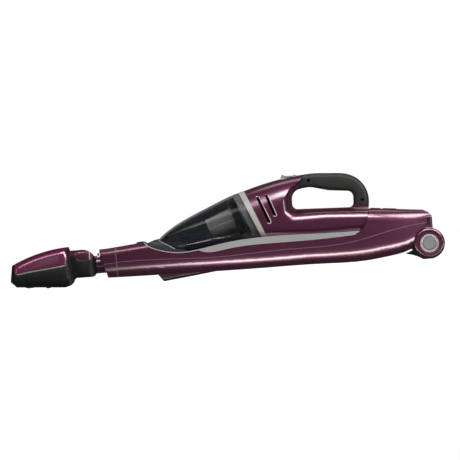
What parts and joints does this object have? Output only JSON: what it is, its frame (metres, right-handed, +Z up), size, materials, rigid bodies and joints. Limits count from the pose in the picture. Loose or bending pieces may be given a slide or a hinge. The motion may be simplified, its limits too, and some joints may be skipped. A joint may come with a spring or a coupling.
{
  "type": "cordless stick vacuum",
  "caption": "Slim stick vacuum folded for storage: lift-out hand vacuum with clear dust cup, fold-down handle, twisting neck and a powered floor head.",
  "frame": {"origin": "under the middle of the folded object, on the surface that it lies on", "axes": "+X along the stick from the floor head to the fold hinge, +Y across, +Z up out of the surface"},
  "size_m": [0.729, 0.25, 0.1616],
  "materials": {
    "gloss_purple": "metallic gloss",
    "dark_plastic": "satin",
    "soft_grip": "matte",
    "grey_trim": "satin",
    "warm_grey": "satin",
    "smoked_clear": "polished",
    "filter_cloth": "pleated",
    "silver_plastic": "satin silver",
    "grey_green": "satin",
    "steel": "plain",
    "inner_plastic": "moulded",
    "bristle_nylon": "strands",
    "belt_rubber": "matte",
    "cell_sleeve": "shrink sleeve",
    "board_green": "solder mask"
  },
  "bodies": {
    "main_body": {"upper_shell": "gloss_purple", "lower_shell": "gloss_purple", "neck_collar": "gloss_purple", "collar_ring": "grey_trim", "swivel_bush": "inner_plastic", "air_duct": "inner_plastic", "nose_socket": "dark_plastic", "trim_left": "grey_trim", "trim_right": "grey_trim", "end_cap": "gloss_purple", "charge_jack": "steel", "shell_screws": "steel", "hinge_bracket": "steel", "hinge_cheek_left": "gloss_purple", "hinge_cheek_right": "gloss_purple", "hinge_bezel_left": "silver_plastic", "hinge_bezel_right": "silver_plastic", "hinge_cap": "grey_green", "hinge_pin": "steel"},
    "neck": {"neck_base": "dark_plastic", "neck_cover": "gloss_purple", "swivel_tube": "gloss_purple"},
    "neck_catch": {"neck_latch": "dark_plastic"},
    "floor_head": {"head_base": "dark_plastic", "head_cover": "gloss_purple", "sole_plate": "dark_plastic", "head_screws": "steel", "brush_motor": "steel", "drive_belt": "belt_rubber", "wheel_axles": "steel"},
    "brush_roll": {"brush_core": "inner_plastic", "brush_bristles": "bristle_nylon"},
    "brush_drive": {"motor_pulley": "inner_plastic"},
    "left_roller": {"wheel_left": "dark_plastic"},
    "right_roller": {"wheel_right": "dark_plastic"},
    "hand_vacuum": {"dust_cup": "smoked_clear", "cup_ring": "warm_grey", "inlet_duct": "inner_plastic", "filter_cone": "filter_cloth", "filter_frame": "inner_plastic", "housing_left": "gloss_purple", "housing_right": "gloss_purple", "grip_left": "soft_grip", "grip_right": "soft_grip", "grip_screws": "steel", "suction_motor": "steel", "motor_mount": "inner_plastic", "battery_cells": "cell_sleeve", "control_board": "board_green", "exhaust_screens": "filter_cloth"},
    "inlet_valve": {"inlet_flap": "belt_rubber"},
    "suction_fan": {"fan": "inner_plastic"},
    "thumb_switch": {"power_switch": "silver_plastic"},
    "release_key": {"release_button": "gloss_purple"},
    "mode_key": {"mode_button": "dark_plastic"},
    "fold_key": {"hinge_button": "grey_green"},
    "folding_handle": {"handle_knuckle": "dark_plastic", "handle_tube": "grey_trim", "handle_grip": "gloss_purple"}
  },
  "joints": [
    {"name": "neck_twist", "type": "hinge", "parent": "main_body", "child": "neck", "pos_m": [-0.2, 0, 0.0373], "axis": [1, 0, 0], "range_deg": [-60, 60]},
    {"name": "neck_catch_press", "type": "slide", "parent": "neck", "child": "neck_catch", "axis": [0, 0, -1], "range_m": [0, 0.0015], "stiffness_N_per_m": 500},
    {"name": "head_pitch", "type": "hinge", "parent": "neck", "child": "floor_head", "pos_m": [-0.2775, 0, 0.036], "axis": [0, 1, 0], "range_deg": [-8, 85]},
    {"name": "brush_spin", "type": "hinge", "parent": "floor_head", "child": "brush_roll", "pos_m": [-0.33241, 0, 0.02764], "axis": [0, 1, 0], "continuous": true},
    {"name": "pulley_spin", "type": "hinge", "parent": "floor_head", "child": "brush_drive", "pos_m": [-0.28865, 0, 0.0229], "axis": [0, 1, 0], "continuous": true},
    {"name": "left_roller_spin", "type": "hinge", "parent": "floor_head", "child": "left_roller", "pos_m": [-0.30312, -0.075, 0.00978], "axis": [0, 1, 0], "continuous": true},
    {"name": "right_roller_spin", "type": "hinge", "parent": "floor_head", "child": "right_roller", "pos_m": [-0.30312, 0.075, 0.00978], "axis": [0, 1, 0], "continuous": true},
    {"name": "hand_tilt", "type": "hinge", "parent": "main_body", "child": "hand_vacuum", "pos_m": [-0.1162, 0, 0.069], "axis": [0, -1, 0], "range_deg": [0, 30]},
    {"name": "flap_swing", "type": "hinge", "parent": "hand_vacuum", "child": "inlet_valve", "pos_m": [-0.0688, 0, 0.0626], "axis": [0, -1, 0], "range_deg": [0, 60]},
    {"name": "fan_spin", "type": "hinge", "parent": "hand_vacuum", "child": "suction_fan", "pos_m": [0.0555, 0, 0.0907], "axis": [0.9285, 0, 0.3714], "continuous": true},
    {"name": "switch_slide", "type": "slide", "parent": "hand_vacuum", "child": "thumb_switch", "axis": [-0.9949, 0, -0.1011], "range_m": [0, 0.008]},
    {"name": "release_press", "type": "slide", "parent": "main_body", "child": "release_key", "axis": [-0.1104, 0, -0.9939], "range_m": [0, 0.0025], "stiffness_N_per_m": 600},
    {"name": "mode_press", "type": "slide", "parent": "main_body", "child": "mode_key", "axis": [-0.1104, 0, -0.9939], "range_m": [0, 0.0025], "stiffness_N_per_m": 600},
    {"name": "fold_key_press", "type": "slide", "parent": "main_body", "child": "fold_key", "axis": [0, 1, 0], "range_m": [0, 0.003], "stiffness_N_per_m": 600},
    {"name": "handle_fold", "type": "hinge", "parent": "main_body", "child": "folding_handle", "pos_m": [0.3385, 0, 0.026], "axis": [0, -1, 0], "range_deg": [0, 180]}
  ],
  "couplings": [
    {"joint": "pulley_spin", "follows": "brush_spin", "ratio": 1.4}
  ]
}
